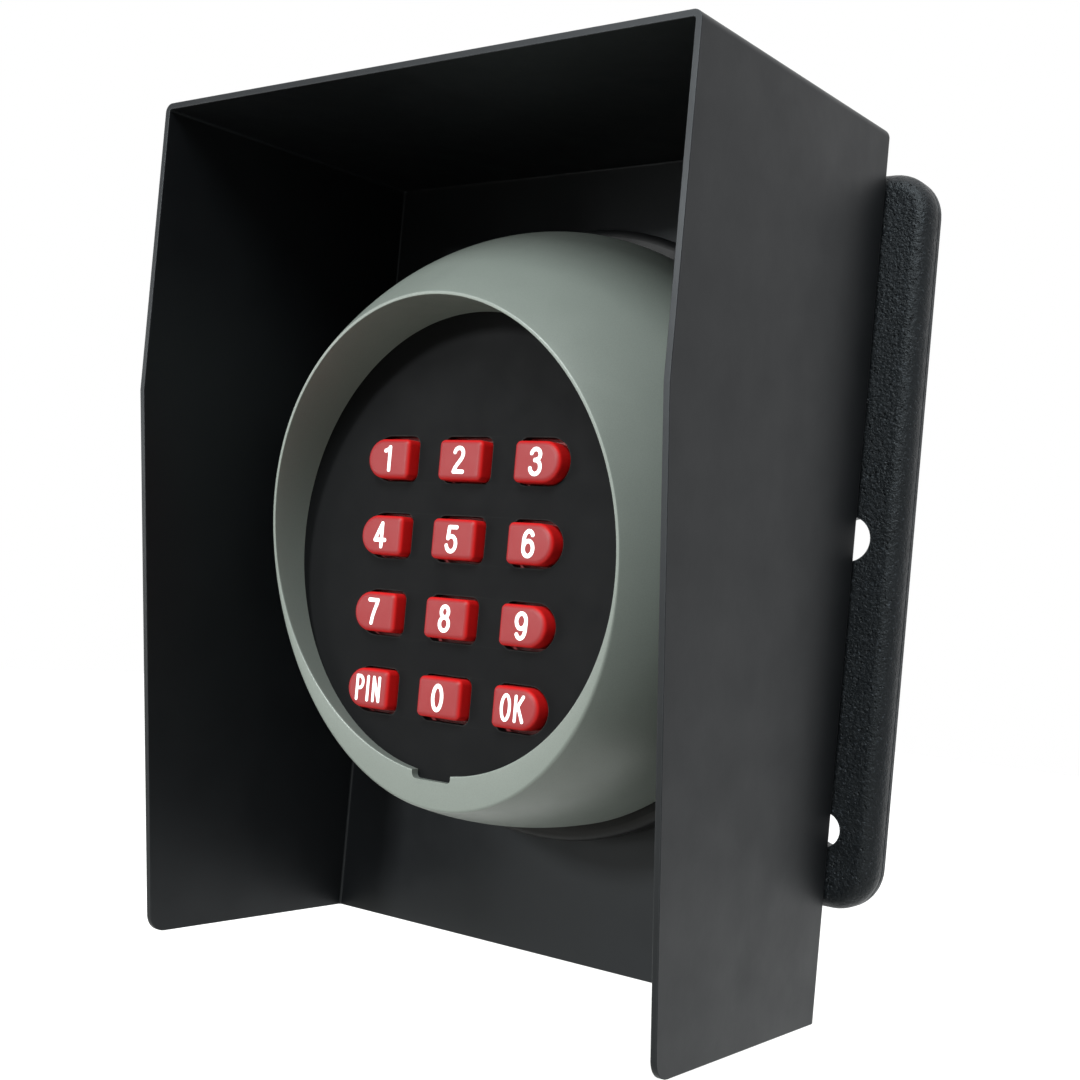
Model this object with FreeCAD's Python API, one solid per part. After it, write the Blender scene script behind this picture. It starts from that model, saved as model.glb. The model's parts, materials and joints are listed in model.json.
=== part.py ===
import FreeCAD, Part
import math, os
from FreeCAD import Vector as V

# Keypad in a weather hood on a square wall plate.  Millimetres.
# X to the right, +Y into the wall, +Z up.  The front faces -Y.
# The origin is the centre of the wall plate, in the plane of the wall.

os.makedirs("parts", exist_ok=True)

# ---- wall plate -------------------------------------------------------
PLATE_W, PLATE_H, PLATE_D = 140.0, 139.0, 5.5
PLATE_T = 1.5            # pressed sheet thickness
PLATE_R = 8.5            # corner radius
PLATE_EDGE = 3.2         # rounded front edge
WALL_HOLE_X = 59.5       # wall holes, left and right of the centre
WALL_HOLE_MID_R = 4.25
WALL_HOLE_LOW_R = 3.25
WALL_HOLE_LOW_Z = -54.8
WALL_BOSS_R = 7.2

# ---- weather hood -----------------------------------------------------
SHEET = 1.2
HOOD_W = 122.5
HOOD_BACK_Y = -PLATE_D
HOOD_Z0 = -90.8          # bottom edge
HOOD_Z1_FRONT = 74.2     # top edge at the front
HOOD_Z1_BACK = 77.1      # top edge at the back, so the roof sheds water
HOOD_FRONT_Y = -75.8     # front edge, upper part
HOOD_FOOT_Y = -61.7      # front edge at the bottom
HOOD_KINK_Z = 17.6       # where the side panels start to taper
HOOD_FOOT_R = 4.0        # rounded lower front corner
BEND_R = 1.7             # outer radius of the folds

# ---- keypad -----------------------------------------------------------
KP_Z = -2.3              # centre height of the base
GASKET_T = 0.8
BASE_RX, BASE_RZ = 58.3, 63.0
BASE_FLOOR = 2.2
BASE_LEDGE = 7.4         # base depth from gasket to ledge
WALLIN = HOOD_BACK_Y - SHEET            # inner face of the hood's back
BASE_Y0 = WALLIN - GASKET_T             # rear of the base
BASE_Y1 = BASE_Y0 - BASE_LEDGE          # ledge that faces the shell
SEAL_T = 0.6
SKIRT_Y = BASE_Y1 - SEAL_T              # rear edge of the shell
DOME_Y = -18.5           # where the skirt starts to dome
SKIRT_RX, SKIRT_RZ = 55.2, 59.8
SHELL_T = 2.2
RIM_Y, RIM_Z = -55.9, -7.22             # centre of the tilted rim plane
RIM_TILT = math.radians(8.6)
BORE_RX, BORE_RZ = 40.9, 44.25          # opening, measured in the rim plane
LIP = 0.6                # lip width at the top and sides
FACET = 6.9              # width of the lower facet at its middle

# ---- face and keys ----------------------------------------------------
FACE_Y = -47.5           # front of the face plate
FACE_T = 2.0
FACE_FLANGE = 1.6
KEY_Z = -14.2            # centre of the key grid
PITCH_X, PITCH_Z = 18.0, 14.9
KEY_W, KEY_H = 10.5, 7.7
KEY_OUT = 2.6            # key stands out of the face
KEY_GAP = 0.55           # clearance round a key in its opening
OPEN_STEP = 0.16         # the openings' rows are this much further apart than the keys' rows
PRY_X, PRY_W, PRY_H = -0.6, 9.4, 1.25    # pry slot in the bottom of the lip
KEY_TRAVEL = 1.2
FLANGE = 1.3             # key flange behind the face plate
FLANGE_T = 1.0
BOARD_Y = FACE_Y + FACE_T + 3.6         # front of the circuit board
BOARD_T = 1.6
MAT_T = 0.8
SCREW_X, SCREW_DZ = 28.5, (20.4, -27.4)  # board screws, from the bore centre

BOLT_X, BOLT_DZ = 32.0, 34.0
BOLT_R = 2.0

shapes = {}


def box(x0, x1, y0, y1, z0, z1):
    return Part.makeBox(x1 - x0, y1 - y0, z1 - z0, V(x0, y0, z0))


def ycyl(x, z, r, y0, y1):
    return Part.makeCylinder(r, y1 - y0, V(x, y0, z), V(0, 1, 0))


def zcyl(x, y, r, z0, z1):
    return Part.makeCylinder(r, z1 - z0, V(x, y, z0), V(0, 0, 1))


def oval_prism(rx, rz, zc, y0, y1, x0=0.0):
    """Elliptical cylinder along Y."""
    if rx >= rz:
        e = Part.Ellipse(V(x0, y0, zc), rx, rz)
        e = Part.Ellipse(V(x0 + rx, y0, zc), V(x0, y0, zc + rz), V(x0, y0, zc))
    else:
        e = Part.Ellipse(V(x0, y0, zc + rz), V(x0 + rx, y0, zc), V(x0, y0, zc))
    f = Part.Face(Part.Wire(e.toShape()))
    return f.extrude(V(0, y1 - y0, 0))


def rounded_prism(x0, x1, z0, z1, r, y0, y1):
    b = box(x0, x1, y0, y1, z0, z1)
    ed = [e for e in b.Edges if abs(e.BoundBox.YLength - (y1 - y0)) < 1e-6 and e.BoundBox.XLength < 1e-6]
    return b.makeFillet(r, ed)


def edges(shape, test):
    return [e for e in shape.Edges if test(e.BoundBox, e)]


def near(a, b, tol=1e-3):
    return abs(a - b) < tol


def save(name, shape):
    if shape.ShapeType == "Compound" and len(shape.Solids) == 1:
        shape = shape.Solids[0]
    shapes[name] = shape


# ======================================================================
# Wall plate: a shallow pan, hollow at the back, with a fine rear bead
# ======================================================================
hw, hh = PLATE_W / 2, PLATE_H / 2
pan = rounded_prism(-hw, hw, -hh, hh, PLATE_R, -PLATE_D, 0)
pan = pan.makeFillet(PLATE_EDGE, edges(pan, lambda b, e: near(b.YMin, -PLATE_D) and near(b.YMax, -PLATE_D)))
ti = PLATE_T
cav = rounded_prism(-hw + ti, hw - ti, -hh + ti, hh - ti, PLATE_R - ti, -PLATE_D + ti, 1.0)
cav = cav.makeFillet(PLATE_EDGE - ti, edges(cav, lambda b, e: near(b.YMin, -PLATE_D + ti) and near(b.YMax, -PLATE_D + ti)))
pan = pan.cut(cav)
# fine groove behind the rounded edge, so the rear rim reads as a bead
g_out = rounded_prism(-hw - 1, hw + 1, -hh - 1, hh + 1, PLATE_R + 1, -1.35, -1.0)
g_in = rounded_prism(-hw + 0.35, hw - 0.35, -hh + 0.35, hh - 0.35, PLATE_R - 0.35, -1.35, -1.0)
pan = pan.cut(g_out.cut(g_in))
for sx in (-1, 1):
    for z in (0.0, WALL_HOLE_LOW_Z):
        pan = pan.fuse(ycyl(sx * WALL_HOLE_X, z, WALL_BOSS_R, -PLATE_D + 0.5, 0))
for sx in (-1, 1):
    for z, r in ((0.0, WALL_HOLE_MID_R), (WALL_HOLE_LOW_Z, WALL_HOLE_LOW_R)):
        pan = pan.cut(ycyl(sx * WALL_HOLE_X, z, r, -PLATE_D - 1, 1))
bolts_at = [(sx * BOLT_X, KP_Z + sz * BOLT_DZ) for sx in (-1, 1) for sz in (-1, 1)]
for x, z in bolts_at:
    pan = pan.cut(ycyl(x, z, BOLT_R + 0.15, -PLATE_D - 1, 1))
save("rear_mount_plate", pan.removeSplitter())

# ======================================================================
# Weather hood
# ======================================================================
W2 = HOOD_W / 2


def hood_profile(x):
    """Side outline of the hood in the YZ plane, lower front corner rounded."""
    p_bb = V(x, HOOD_BACK_Y, HOOD_Z0)
    p_fb = V(x, HOOD_FOOT_Y, HOOD_Z0)
    p_k = V(x, HOOD_FRONT_Y, HOOD_KINK_Z)
    p_ft = V(x, HOOD_FRONT_Y, HOOD_Z1_FRONT)
    p_bt = V(x, HOOD_BACK_Y, HOOD_Z1_BACK)
    u1 = (p_bb - p_fb).normalize()
    u2 = (p_k - p_fb).normalize()
    half = 0.5 * u1.getAngle(u2)
    d = HOOD_FOOT_R / math.tan(half)
    a, b = p_fb + u1 * d, p_fb + u2 * d
    mid_dir = (u1 + u2).normalize()
    c = p_fb + mid_dir * (HOOD_FOOT_R / math.sin(half))
    m = c - mid_dir * HOOD_FOOT_R
    return Part.Wire([Part.LineSegment(p_bb, a).toShape(), Part.Arc(a, m, b).toShape(),
                      Part.LineSegment(b, p_k).toShape(), Part.LineSegment(p_k, p_ft).toShape(),
                      Part.LineSegment(p_ft, p_bt).toShape(), Part.LineSegment(p_bt, p_bb).toShape()])


outer = Part.Face(hood_profile(-W2)).extrude(V(HOOD_W, 0, 0))
back_edges = edges(outer, lambda b, e: near(b.YMin, HOOD_BACK_Y) and near(b.YMax, HOOD_BACK_Y)
                   and (b.ZLength > 100 or near(b.ZMin, HOOD_Z1_BACK)))
side_roof = edges(outer, lambda b, e: b.YLength > 60 and b.ZMin > HOOD_Z1_FRONT - 1 and b.XLength < 1e-3)
outer = outer.makeFillet(BEND_R, back_edges + side_roof)

# the space inside, open at the front and at the bottom
xi = W2 - SHEET
slope = (HOOD_Z1_BACK - HOOD_Z1_FRONT) / (HOOD_BACK_Y - HOOD_FRONT_Y)
yb, yf = HOOD_BACK_Y - SHEET, HOOD_FRONT_Y - 6
zt_b = HOOD_Z1_BACK - SHEET - slope * SHEET
zt_f = zt_b + slope * (yf - yb)
inner_w = Part.makePolygon([V(-xi, yb, HOOD_Z0 - 5), V(-xi, yf, HOOD_Z0 - 5), V(-xi, yf, zt_f),
                            V(-xi, yb, zt_b), V(-xi, yb, HOOD_Z0 - 5)])
inner = Part.Face(inner_w).extrude(V(2 * xi, 0, 0))
in_back = edges(inner, lambda b, e: near(b.YMin, yb) and near(b.YMax, yb) and (b.ZLength > 100 or near(b.ZMin, zt_b)))
in_roof = edges(inner, lambda b, e: b.YLength > 60 and b.ZMin > zt_f - 1 and b.XLength < 1e-3)
inner = inner.makeFillet(BEND_R - SHEET, in_back + in_roof)
hood = outer.cut(inner)
for x, z in bolts_at:
    hood = hood.cut(ycyl(x, z, BOLT_R + 0.15, HOOD_BACK_Y - 3, HOOD_BACK_Y + 1))
save("hood_shell", hood.removeSplitter())

# ======================================================================
# Base tray, gasket, seal
# ======================================================================
gasket = oval_prism(BASE_RX - 1.5, BASE_RZ - 1.5, KP_Z, BASE_Y0, WALLIN)
gasket = gasket.cut(oval_prism(24.0, 28.0, KP_Z, BASE_Y0 - 1, WALLIN + 1))
for x, z in bolts_at:
    gasket = gasket.cut(ycyl(x, z, BOLT_R + 0.3, BASE_Y0 - 1, WALLIN + 1))
save("base_gasket", gasket)

base = oval_prism(BASE_RX, BASE_RZ, KP_Z, BASE_Y1, BASE_Y0)
front_rim = edges(base, lambda b, e: near(b.YMin, BASE_Y1, 0.01) and near(b.YMax, BASE_Y1, 0.01))
base = base.makeFillet(1.8, front_rim)
rear_rim = edges(base, lambda b, e: near(b.YMin, BASE_Y0, 0.01) and near(b.YMax, BASE_Y0, 0.01))
base = base.makeFillet(0.5, rear_rim)
REG_RX, REG_RZ = SKIRT_RX - SHELL_T - 0.35, SKIRT_RZ - SHELL_T - 0.35
REG_T, REG_Y = 2.2, -22.4
base = base.fuse(oval_prism(REG_RX, REG_RZ, KP_Z, REG_Y, BASE_Y1 + 2.0))
base = base.cut(oval_prism(REG_RX - REG_T, REG_RZ - REG_T, KP_Z, REG_Y - 1, BASE_Y0 - BASE_FLOOR))
for x, z in bolts_at:
    base = base.fuse(ycyl(x, z, 5.2, BASE_Y0 - BASE_FLOOR - 1.6, BASE_Y0 - BASE_FLOOR + 0.5))
    base = base.cut(ycyl(x, z, BOLT_R + 0.15, BASE_Y0 - BASE_FLOOR - 3, BASE_Y0 + 1))
LOCK_Y = -20.2
for s in (-1, 1):
    zr = KP_Z + s * (REG_RZ - REG_T)
    lo, hi = sorted((zr + s * 0.6, zr - s * 6.0))
    base = base.fuse(box(-4.0, 4.0, LOCK_Y - 3.5, BASE_Y0 - BASE_FLOOR + 0.5, lo, hi))
    lo, hi = sorted((KP_Z + s * (SKIRT_RZ + 1), zr - s * 5.0))
    base = base.cut(zcyl(0, LOCK_Y, 1.25, lo, hi))
save("keypad_base", base.removeSplitter())

seal = oval_prism(SKIRT_RX - 0.7, SKIRT_RZ - 0.7, KP_Z, SKIRT_Y, BASE_Y1)
seal = seal.cut(oval_prism(REG_RX + 0.1, REG_RZ + 0.1, KP_Z, SKIRT_Y - 1, BASE_Y1 + 1))
save("shell_seal", seal)

# ======================================================================
# Shell: an oval skirt that domes forward to a tilted oval rim
# ======================================================================
N = 64
CT, ST = math.cos(RIM_TILT), math.sin(RIM_TILT)


def rim_curve(rx, rzu, rzd, y, z):
    pts = []
    for i in range(N):
        a = 2 * math.pi * i / N
        v = (rzu if math.sin(a) >= 0 else rzd) * math.sin(a)
        pts.append(V(rx * math.cos(a), y - v * ST, z + v * CT))
    return pts


def flat_curve(rx, rz, y, z):
    return [V(rx * math.cos(2 * math.pi * i / N), y, z + rz * math.sin(2 * math.pi * i / N)) for i in range(N)]


def ring_wire(pts):
    c = Part.BSplineCurve()
    c.interpolate(pts, True)
    return Part.Wire(c.toShape())


def dome(inset, rear_y):
    """Closed dome solid.  inset shrinks it evenly for the inside."""
    rx, rzu, rzd = BORE_RX + LIP - inset * 0.75, BORE_RZ + LIP - inset * 0.75, BORE_RZ + FACET - inset * 0.75
    rim = rim_curve(rx, rzu, rzd, RIM_Y + inset, RIM_Z)
    base_ = flat_curve(SKIRT_RX - inset, SKIRT_RZ - inset, DOME_Y, KP_Z)
    rings = [flat_curve(SKIRT_RX - inset, SKIRT_RZ - inset, rear_y, KP_Z)]
    rings.append(base_)
    for k in range(1, 9):
        t = math.sin(0.5 * math.pi * k / 8.0)
        rho = (1 - t * t) if k < 8 else 0.0
        ring = []
        for b, r in zip(base_, rim):
            ring.append(V(r.x + (b.x - r.x) * rho, b.y + (r.y - b.y) * t, r.z + (b.z - r.z) * rho))
        rings.append(ring)
    skirt = Part.makeLoft([ring_wire(rings[0]), ring_wire(rings[1])], True, True)
    body = Part.makeLoft([ring_wire(r) for r in rings[1:]], True, False)
    return skirt.fuse(body)


def bore_prism(grow, y0, y1):
    """Oval prism along Y that matches the tilted opening."""
    return oval_prism(BORE_RX + grow, BORE_RZ * CT + grow, RIM_Z, y0, y1)


outer_dome = dome(0.0, SKIRT_Y)
inner_dome = dome(SHELL_T, SKIRT_Y + 1.0)
tube = bore_prism(1.7, -70.0, FACE_Y).common(outer_dome)
shell = outer_dome.cut(inner_dome).fuse(tube).cut(bore_prism(0.0, -75.0, FACE_Y + 3.0))
# seat for the face plate's edge, cut into the low side of the dome
shell = shell.cut(bore_prism(FACE_FLANGE + 0.1, FACE_Y, FACE_Y + 8.0))
for s in (-1, 1):
    z0 = KP_Z + s * SKIRT_RZ
    lo, hi = sorted((z0 + s * 1, z0 - s * 4.0))
    shell = shell.cut(zcyl(0, LOCK_Y, 1.6, lo, hi))
    # countersink for the screw head
    if s > 0:
        cs = Part.makeCone(1.6, 3.05, 1.6, V(0, LOCK_Y, z0 - 1.6), V(0, 0, 1))
    else:
        cs = Part.makeCone(3.05, 1.6, 1.6, V(0, LOCK_Y, z0), V(0, 0, 1))
    shell = shell.cut(cs)
# pry slot in the bottom of the lip, so the face plate can be lifted out
zb = RIM_Z - BORE_RZ * CT
pry = box(PRY_X - PRY_W / 2, PRY_X + PRY_W / 2, -60.0, FACE_Y, zb - PRY_H, zb + 4.0)
pry = pry.makeFillet(0.7, edges(pry, lambda b, e: near(b.ZMin, zb - PRY_H) and near(b.ZMax, zb - PRY_H) and b.YLength > 1))
shell = shell.cut(pry)
# snap hooks behind the face plate's flange, at the left, right and top
for x0, x1, z0, z1 in ((BORE_RX + 1.72, BORE_RX + 3.3, RIM_Z - 5, RIM_Z + 5),
                       (-BORE_RX - 3.3, -BORE_RX - 1.72, RIM_Z - 5, RIM_Z + 5)):
    post = box(x0, x1, FACE_Y - 3.0, FACE_Y + FACE_T + 1.2, z0, z1)
    lipx = (x0 - 1.0, x0 + 0.2) if x0 > 0 else (x1 - 0.2, x1 + 1.0)
    barb = box(lipx[0], lipx[1], FACE_Y + FACE_T + 0.1, FACE_Y + FACE_T + 1.2, z0, z1)
    shell = shell.fuse(post.fuse(barb))

save("keypad_shell", shell)

# ======================================================================
# Face plate with twelve key openings and four screw bosses behind
# ======================================================================
keys = []
names = [["1", "2", "3"], ["4", "5", "6"], ["7", "8", "9"], ["pin", "0", "ok"]]
for r in range(4):
    for c in range(3):
        keys.append((names[r][c], (c - 1) * PITCH_X, KEY_Z + (1.5 - r) * PITCH_Z, c))


def key_prism(x, z, col, grow, y0, y1):
    """Key outline: outer columns have a half-round outer end."""
    w, h = KEY_W / 2 + grow, KEY_H / 2 + grow
    rr = 1.1 + grow
    if col == 1:
        return rounded_prism(x - w, x + w, z - h, z + h, rr, y0, y1)
    s = -1 if col == 0 else 1
    xa, xb = sorted((x - s * w, x + s * (w - h)))
    blk = rounded_prism(xa - (rr if s < 0 else 0), xb + (rr if s > 0 else 0), z - h, z + h, rr, y0, y1)
    keep = box(xa - 0.001, xb + 0.001, y0 - 1, y1 + 1, z - h - 1, z + h + 1)
    return blk.common(keep).fuse(ycyl(x + s * (w - h), z, h, y0, y1)).removeSplitter()


face = bore_prism(FACE_FLANGE - 0.05, FACE_Y, FACE_Y + FACE_T)
bosses = [(sx * SCREW_X, RIM_Z + dz) for sx in (-1, 1) for dz in SCREW_DZ]
for x, z in bosses:
    face = face.fuse(ycyl(x, z, 2.7, FACE_Y + FACE_T - 0.5, BOARD_Y))
for x, z in bosses:
    face = face.cut(ycyl(x, z, 0.95, FACE_Y + 1.2, BOARD_Y + 1))
for i, (n, x, z, c) in enumerate(keys):
    zo = z + (1.5 - i // 3) * OPEN_STEP
    face = face.cut(key_prism(x, zo, c, KEY_GAP, FACE_Y - 1, FACE_Y + FACE_T + 1))
save("face_plate", face.removeSplitter())

# ======================================================================
# Keys: soft-edged cap, flange behind the face plate, central plunger
# ======================================================================
for n, x, z, c in keys:
    top = FACE_Y - KEY_OUT
    cap = key_prism(x, z, c, 0.0, top, FACE_Y + FACE_T + 0.4)
    cap = cap.makeFillet(0.75, edges(cap, lambda b, e: near(b.YMin, top) and near(b.YMax, top)))
    fl = key_prism(x, z, c, FLANGE, FACE_Y + FACE_T + 0.3, FACE_Y + FACE_T + 0.3 + FLANGE_T)
    pl = ycyl(x, z, 2.0, FACE_Y + FACE_T + 0.5, BOARD_Y - 1.8)
    save("key_" + n, cap.fuse(fl).fuse(pl).removeSplitter())

# ======================================================================
# Mat, board and what it carries
# ======================================================================
mat = bore_prism(-3.2, BOARD_Y - MAT_T, BOARD_Y)
board = bore_prism(-1.2, BOARD_Y, BOARD_Y + BOARD_T)
domes, screws = [], []
for n, x, z, c in keys:
    mat = mat.cut(ycyl(x, z, 3.6, BOARD_Y - MAT_T - 1, BOARD_Y + 1))
    domes.append(Part.makeCylinder(2.5, 0.25, V(x, BOARD_Y - 0.25, z), V(0, 1, 0)))
for x, z in bosses:
    mat = mat.cut(ycyl(x, z, 3.1, BOARD_Y - MAT_T - 1, BOARD_Y + 1))
    board = board.cut(ycyl(x, z, 1.25, BOARD_Y - 1, BOARD_Y + BOARD_T + 1))
    head = ycyl(x, z, 2.1, BOARD_Y + BOARD_T, BOARD_Y + BOARD_T + 1.5)
    head = head.makeFillet(0.5, edges(head, lambda b, e: near(b.YMin, BOARD_Y + BOARD_T + 1.5) and near(b.YMax, BOARD_Y + BOARD_T + 1.5)))
    slot = box(x - 1.3, x + 1.3, BOARD_Y + BOARD_T + 0.9, BOARD_Y + BOARD_T + 2, z - 0.25, z + 0.25)
    slot2 = box(x - 0.25, x + 0.25, BOARD_Y + BOARD_T + 0.9, BOARD_Y + BOARD_T + 2, z - 1.3, z + 1.3)
    screws.append(head.fuse(ycyl(x, z, 0.93, FACE_Y + 1.6, BOARD_Y + BOARD_T + 0.2)).cut(slot).cut(slot2).removeSplitter())
save("keypad_mat", mat)
save("circuit_board", board)
save("snap_domes", Part.makeCompound(domes))
save("board_screws", Part.makeCompound(screws))

BR = BOARD_Y + BOARD_T                  # rear face of the board
mcu = box(-5, 5, BR, BR + 1.2, -18, -8)
save("microcontroller", mcu)
buzz = ycyl(16, 8, 6.0, BR, BR + 6.5)
buzz = buzz.makeFillet(0.6, edges(buzz, lambda b, e: near(b.YMin, BR + 6.5) and near(b.YMax, BR + 6.5)))
buzz = buzz.cut(ycyl(16, 8, 1.0, BR + 4.5, BR + 8))
save("buzzer", buzz.removeSplitter())

# ======================================================================
# Battery holder on the base floor: three cells side by side
# ======================================================================
FL = BASE_Y0 - BASE_FLOOR               # front of the base floor
CELL_R, CELL_L, CELL_P = 5.25, 44.0, 11.6
hx, hz = 25.6, 18.2
holder = box(-hx, hx, FL - 9.6, FL, KP_Z - hz, KP_Z + hz)
holder = holder.cut(box(-hx + 1.4, hx - 1.4, FL - 12, FL - 1.4, KP_Z - hz + 1.2, KP_Z + hz - 1.2))
cells, contacts = [], []
for k in (-1, 0, 1):
    zc = KP_Z + k * CELL_P
    yc = FL - 1.6 - CELL_R
    s = 1 if k % 2 else -1
    body_ = Part.makeCylinder(CELL_R, CELL_L - 1.0, V(-s * (CELL_L / 2), yc, zc), V(s, 0, 0))
    nub = Part.makeCylinder(1.9, 1.2, V(s * (CELL_L / 2 - 1.2), yc, zc), V(s, 0, 0))
    cells.append(body_.fuse(nub).removeSplitter())
    for e in (-1, 1):
        xa, xb = sorted((e * (CELL_L / 2 + 0.02), e * (hx - 1.42)))
        plate = box(xa, xb, yc - 3.6, yc + 3.6, zc - 4.2, zc + 4.2)
        contacts.append(plate)
save("battery_holder", holder)
save("battery_cells", Part.makeCompound(cells))
save("battery_contacts", Part.makeCompound(contacts))

# ======================================================================
# Fasteners
# ======================================================================
b_list, n_list = [], []
HEAD_Y = BASE_Y0 - BASE_FLOOR - 1.6
for x, z in bolts_at:
    head = ycyl(x, z, 3.9, HEAD_Y - 2.6, HEAD_Y)
    head = head.makeFillet(1.1, edges(head, lambda b, e: near(b.YMin, HEAD_Y - 2.6) and near(b.YMax, HEAD_Y - 2.6)))
    cr = box(x - 2.0, x + 2.0, HEAD_Y - 4, HEAD_Y - 1.4, z - 0.4, z + 0.4).fuse(
        box(x - 0.4, x + 0.4, HEAD_Y - 4, HEAD_Y - 1.4, z - 2.0, z + 2.0))
    shank = ycyl(x, z, BOLT_R - 0.05, HEAD_Y - 0.3, -0.35)
    b_list.append(head.fuse(shank).cut(cr).removeSplitter())
    hexp = Part.makePolygon([V(x + 7.0 / math.sqrt(3) * math.cos(math.radians(60 * i)), -PLATE_D + PLATE_T,
                               z + 7.0 / math.sqrt(3) * math.sin(math.radians(60 * i))) for i in range(7)])
    nut = Part.Face(hexp).extrude(V(0, 3.2, 0)).cut(ycyl(x, z, BOLT_R - 0.03, -20, 5))
    n_list.append(nut)
save("base_bolts", Part.makeCompound(b_list))
save("base_nuts", Part.makeCompound(n_list))

locks = []
for s in (-1, 1):
    z0 = KP_Z + s * SKIRT_RZ
    d = V(0, 0, -s)
    # countersunk head, kept just below the skin of the curved skirt
    p = V(0, LOCK_Y, z0 - s * 0.15)
    head = Part.makeCone(2.85, 1.45, 1.4, p, d)
    shank = Part.makeCylinder(1.2, 8.0, p + d * 1.3, d)
    cut1 = Part.makeBox(3.0, 0.6, 0.8, V(-1.5, LOCK_Y - 0.3, z0 - s * 0.15 - 0.4))
    cut2 = Part.makeBox(0.6, 3.0, 0.8, V(-0.3, LOCK_Y - 1.5, z0 - s * 0.15 - 0.4))
    locks.append(head.fuse(shank).cut(cut1).cut(cut2).removeSplitter())
save("shell_lock_screws", Part.makeCompound(locks))

# ======================================================================
for name, sh in shapes.items():
    ok = sh.isValid()
    print("%-20s valid=%s solids=%d vol=%.1f bb=%s" % (
        name, ok, len(sh.Solids), sh.Volume,
        [round(v, 2) for v in (sh.BoundBox.XMin, sh.BoundBox.XMax, sh.BoundBox.YMin,
                               sh.BoundBox.YMax, sh.BoundBox.ZMin, sh.BoundBox.ZMax)]))
    sh.exportStep("parts/" + name + ".step")
print(len(shapes), "nodes")
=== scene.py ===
import json
import math

import bmesh
import bpy
from mathutils import Matrix, Vector


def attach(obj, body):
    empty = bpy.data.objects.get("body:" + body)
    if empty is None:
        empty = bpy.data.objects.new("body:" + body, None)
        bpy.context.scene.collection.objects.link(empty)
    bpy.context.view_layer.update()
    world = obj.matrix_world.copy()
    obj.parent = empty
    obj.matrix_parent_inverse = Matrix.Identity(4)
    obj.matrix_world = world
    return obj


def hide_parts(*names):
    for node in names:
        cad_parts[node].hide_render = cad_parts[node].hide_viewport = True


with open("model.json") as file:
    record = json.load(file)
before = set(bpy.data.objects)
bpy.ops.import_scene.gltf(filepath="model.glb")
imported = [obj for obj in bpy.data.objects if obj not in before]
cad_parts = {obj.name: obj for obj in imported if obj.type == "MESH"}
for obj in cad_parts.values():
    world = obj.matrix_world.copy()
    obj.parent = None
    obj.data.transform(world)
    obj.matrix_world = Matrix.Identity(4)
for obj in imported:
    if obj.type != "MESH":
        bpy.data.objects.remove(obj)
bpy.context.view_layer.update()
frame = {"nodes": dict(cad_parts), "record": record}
nodes = frame["nodes"]
MM = 0.001

# ======================================================================
# Sizes, the same as the CAD source (millimetres)
# ======================================================================
PLATE_W, PLATE_H, PLATE_D = 140.0, 139.0, 5.5
SHEET = 1.2
HOOD_W = 122.5
HOOD_BACK_Y = -5.5
HOOD_Z0 = -90.8
HOOD_Z1_FRONT, HOOD_Z1_BACK = 74.2, 77.1
HOOD_FRONT_Y, HOOD_FOOT_Y, HOOD_KINK_Z, HOOD_FOOT_R = -75.8, -61.7, 17.6, 4.0
BEND_R = 1.7
KP_Z = -2.3
SKIRT_Y, DOME_Y = -15.5, -18.5
SKIRT_RX, SKIRT_RZ = 55.2, 59.8
SHELL_T = 2.2
RIM_Y, RIM_Z = -55.9, -7.22
RIM_TILT = math.radians(8.6)
CT, ST = math.cos(RIM_TILT), math.sin(RIM_TILT)
BORE_RX, BORE_RZ = 40.9, 44.25
LIP, FACET = 0.6, 6.9
FACE_Y, FACE_T = -47.5, 2.0
FACE_FLANGE = 1.6
KEY_Z = -14.2
PITCH_X, PITCH_Z = 18.0, 14.9
KEY_W, KEY_H, KEY_OUT = 10.5, 7.7, 2.6
KEY_GAP, OPEN_STEP, KEY_FLANGE = 0.55, 0.16, 1.3
PRY_X, PRY_W, PRY_H = -0.6, 9.4, 1.25
BOLT_X, BOLT_DZ, BOLT_R = 32.0, 34.0, 2.0
LOCK_Y = -20.2

scene = bpy.context.scene


def mesh_object(name, bm, smooth=True):
    me = bpy.data.meshes.new(name)
    bm.normal_update()
    bm.to_mesh(me)
    bm.free()
    ob = bpy.data.objects.new(name, me)
    scene.collection.objects.link(ob)
    for p in me.polygons:
        p.use_smooth = smooth
    return ob


def apply_modifiers(ob):
    dg = bpy.context.evaluated_depsgraph_get()
    dg.update()
    me = bpy.data.meshes.new_from_object(ob.evaluated_get(dg))
    ob.modifiers.clear()
    old = ob.data
    ob.data = me
    if old.users == 0:
        bpy.data.meshes.remove(old)
    return ob


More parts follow.
